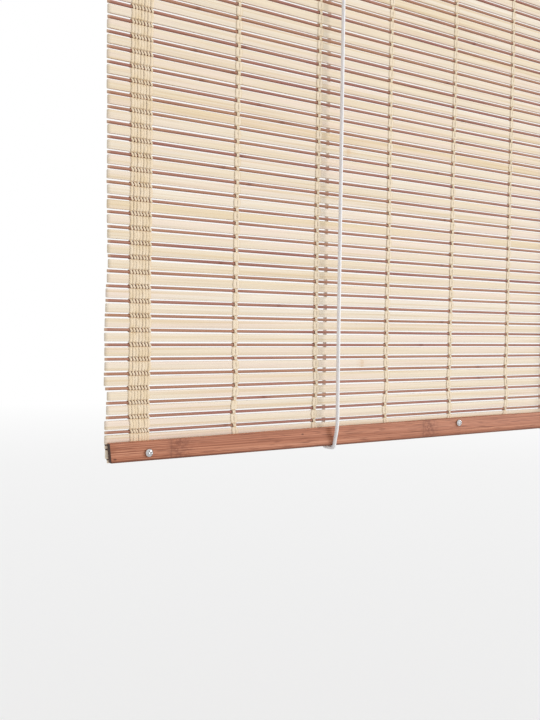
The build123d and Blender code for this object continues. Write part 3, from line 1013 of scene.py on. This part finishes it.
def pulley_pin(name, node, x, front_y):
    """A pin from the rail through the strap, with a flat round head."""
    reach = pin_back_y - front_y + strap_thickness / 2
    profile = [(0, pin_radius - 0.15), (0.15, pin_radius), (reach, pin_radius)]
    for along, radius in ((0, 1.8), (0.15, pin_head_radius), (0.45, pin_head_radius), (0.7, 1.7)):
        profile.append((reach + along, radius))
    profile += [(reach + pin_head_height, 1.2), (reach + pin_head_height, 0.02)]
    turns = full_turn(40)
    rings = np.empty((len(profile), len(turns), 3))
    for number, (along, radius) in enumerate(profile):
        rings[number, :, 0] = x + radius * np.cos(turns)
        rings[number, :, 1] = pin_back_y - along
        rings[number, :, 2] = wheel_z + radius * np.sin(turns)
    pin = Build()
    pin.rings(rings)
    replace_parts(pin.finish(name, "plain_steel"), node)


for end, x, wheel_y in (("left", left_wheel_x, rear_wheel_y), ("right", right_wheel_x, front_wheel_y)):
    strap_front_y = wheel_y - strap_front_gap
    pulley_strap(f"{end}_strap_bent", f"{end}_pulley_strap", x, strap_front_y)
    pulley_pin(f"{end}_pin_turned", f"{end}_pulley_pin", x, strap_front_y)


# Lift cords, down the back, under the bottom rail and up in front to the pulleys
def lift_points(x):
    return [
        (x, cord_back_y, cord_top_z),
        (x, cord_back_y, -790.0),
        (x, -3.7, -802.4),
        (x - 0.2, -12.0, -802.4),
        (x - 0.3, -17.3, -802.0),
        (x - 0.3, -17.8, -797.2),
        (x - 0.2, -20.8, -786.0),
        (x, cord_front_y, -760.0),
        (x, cord_front_y, -35),
    ]


left_points = lift_points(-lift_x) + [
    (-124, cord_front_y, -18),
    (-107, -20.1, -19),
    (117, -25.8, -19),
    (134, cord_far_y, -18),
    (pull_x, cord_far_y, -35),
    (pull_x, cord_far_y, pull_end_z),
]
right_points = lift_points(lift_x) + [
    (122.8, cord_front_y, -18.3),
    (133.2, cord_front_y, -18.3),
    (pull_x, cord_front_y, -35),
    (pull_x, cord_front_y, pull_end_z),
]


def knot(name, place):
    """An overhand stopper knot of the cord, drawn tight."""
    cord_share = 0.0016
    turns = full_turn(120)
    path = np.stack(
        [
            knot_spread * (np.sin(turns) + 2 * np.sin(2 * turns)),
            knot_spread * (np.cos(turns) - 2 * np.cos(2 * turns)),
            -knot_rise * np.sin(3 * turns),
        ],
        axis=1,
    )
    ahead = unit(np.roll(path, -1, axis=0) - np.roll(path, 1, axis=0))
    side = unit(np.cross(ahead, (0, 0, 1)))
    face = np.cross(side, ahead)
    around = full_turn(14)
    strand = np.cos(around)[None, :, None] * side[:, None, :]
    strand = strand + np.sin(around)[None, :, None] * face[:, None, :]
    rings = np.array(place) + path[:, None, :] + knot_strand_radius * strand
    uv = np.empty((len(path), len(around), 2))
    uv[:, :, 0] = (turns * cord_share)[:, None]
    uv[:, :, 1] = (around / (2 * math.pi))[None, :]
    build = Build()
    build.rings(rings, uv=uv, closed=True)
    return build.finish(name, "white_cord")


def lift_cord(name, node, points):
    curve = bpy.data.curves.new(name, "CURVE")
    curve.dimensions = "3D"
    curve.resolution_u = 16
    curve.bevel_depth = cord_diameter / 2 * mm
    curve.bevel_resolution = 5
    curve.use_fill_caps = True
    spline = curve.splines.new("NURBS")
    spline.points.add(len(points) - 1)
    for control, place in zip(spline.points, points):
        control.co = (*(value * mm for value in place), 1.0)
    spline.order_u = 3
    spline.use_endpoint_u = True
    made = bpy.data.objects.new(name, curve)
    bpy.context.scene.collection.objects.link(made)
    curve.materials.append(materials["white_cord"])
    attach(made, "blind")
    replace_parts(made, node)


pull_knot_z = pull_end_z - knot_drop
left_knots = [
    knot("left_top_knot", (-lift_x, cord_back_y, cord_top_z)),
    knot("left_pull_knot", (pull_x, cord_far_y, pull_knot_z)),
]
right_knots = [
    knot("right_top_knot", (lift_x, cord_back_y, cord_top_z)),
    knot("right_pull_knot", (pull_x, cord_front_y, pull_knot_z)),
]
lift_cord("left_lift_cord", "lift_cord_left", left_points)
lift_cord("right_lift_cord", "lift_cord_right", right_points)


# Stage: a white room to the camera and to reflections, an even soft light to the object
def white_to_eye(tree, lit, glow, share=None):
    """Show glow instead of lit to camera, glossy and transmission rays, all of it or a share."""
    rays = tree.nodes.new("ShaderNodeLightPath")
    total = rays.outputs["Is Camera Ray"]
    for name in ("Is Glossy Ray", "Is Transmission Ray"):
        both = tree.nodes.new("ShaderNodeMath")
        both.operation = "ADD"
        both.use_clamp = True
        tree.links.new(total, both.inputs[0])
        tree.links.new(rays.outputs[name], both.inputs[1])
        total = both.outputs[0]
    if share:
        part = tree.nodes.new("ShaderNodeMath")
        part.operation = "MULTIPLY"
        tree.links.new(total, part.inputs[0])
        tree.links.new(share, part.inputs[1])
        total = part.outputs[0]
    blend = tree.nodes.new("ShaderNodeMixShader")
    tree.links.new(total, blend.inputs[0])
    tree.links.new(lit, blend.inputs[1])
    tree.links.new(glow, blend.inputs[2])
    return blend.outputs[0]


bpy.ops.mesh.primitive_plane_add(size=floor_size, location=(0, 0, floor_z))
floor = bpy.context.object
floor.name = "floor"
look = Nodes("pale_floor")
look.shade(Base_Color=linear(240, 240, 240), Roughness=0.9)
far = look.node("ShaderNodeVectorMath", "Value", {"operation": "LENGTH"}, Vector=look.place)
fade = look.grey_ramp(look.math("DIVIDE", far, floor_fade_reach), (0.08, 0.45), (0.5, 0.62), (0.95, 1.0))
glow = look.node("ShaderNodeEmission", Color=(1, 1, 1, 1), Strength=1.0)
surface = white_to_eye(look.tree, look.shader.outputs[0], glow, fade)
look.tree.links.new(surface, look.tree.nodes["Material Output"].inputs["Surface"])
floor.data.materials.append(look.material)

world = bpy.data.worlds.new("studio")
bpy.context.scene.world = world
world.use_nodes = True
tree = world.node_tree
background = tree.nodes["Background"]
background.inputs["Color"].default_value = (1, 1, 1, 1)
background.inputs["Strength"].default_value = room_strength
white = tree.nodes.new("ShaderNodeBackground")
white.inputs["Color"].default_value = (1, 1, 1, 1)
white.inputs["Strength"].default_value = 1.0
surface = white_to_eye(tree, background.outputs[0], white.outputs[0])
tree.links.new(surface, tree.nodes["World Output"].inputs["Surface"])

light = bpy.data.lights.new("key", "SUN")
light.energy = key_energy
light.angle = math.radians(key_angle)
key = bpy.data.objects.new("key", light)
key.rotation_mode = "QUATERNION"
key.rotation_quaternion = Vector(key_direction).to_track_quat("-Z", "Y")
bpy.context.scene.collection.objects.link(key)

# Camera
camera = bpy.data.cameras.new("camera")
camera.lens = camera_lens
camera.sensor_width = camera_sensor
camera.clip_start = camera_near
camera_object = bpy.data.objects.new("camera", camera)
bpy.context.scene.collection.objects.link(camera_object)
back = [-value for value in camera_forward]
turn = Matrix((camera_right, camera_up, back)).transposed().to_4x4()
camera_object.matrix_world = Matrix.Translation(Vector(camera_place) * mm) @ turn
bpy.context.scene.camera = camera_object
bpy.context.scene.view_settings.view_transform = "Standard"
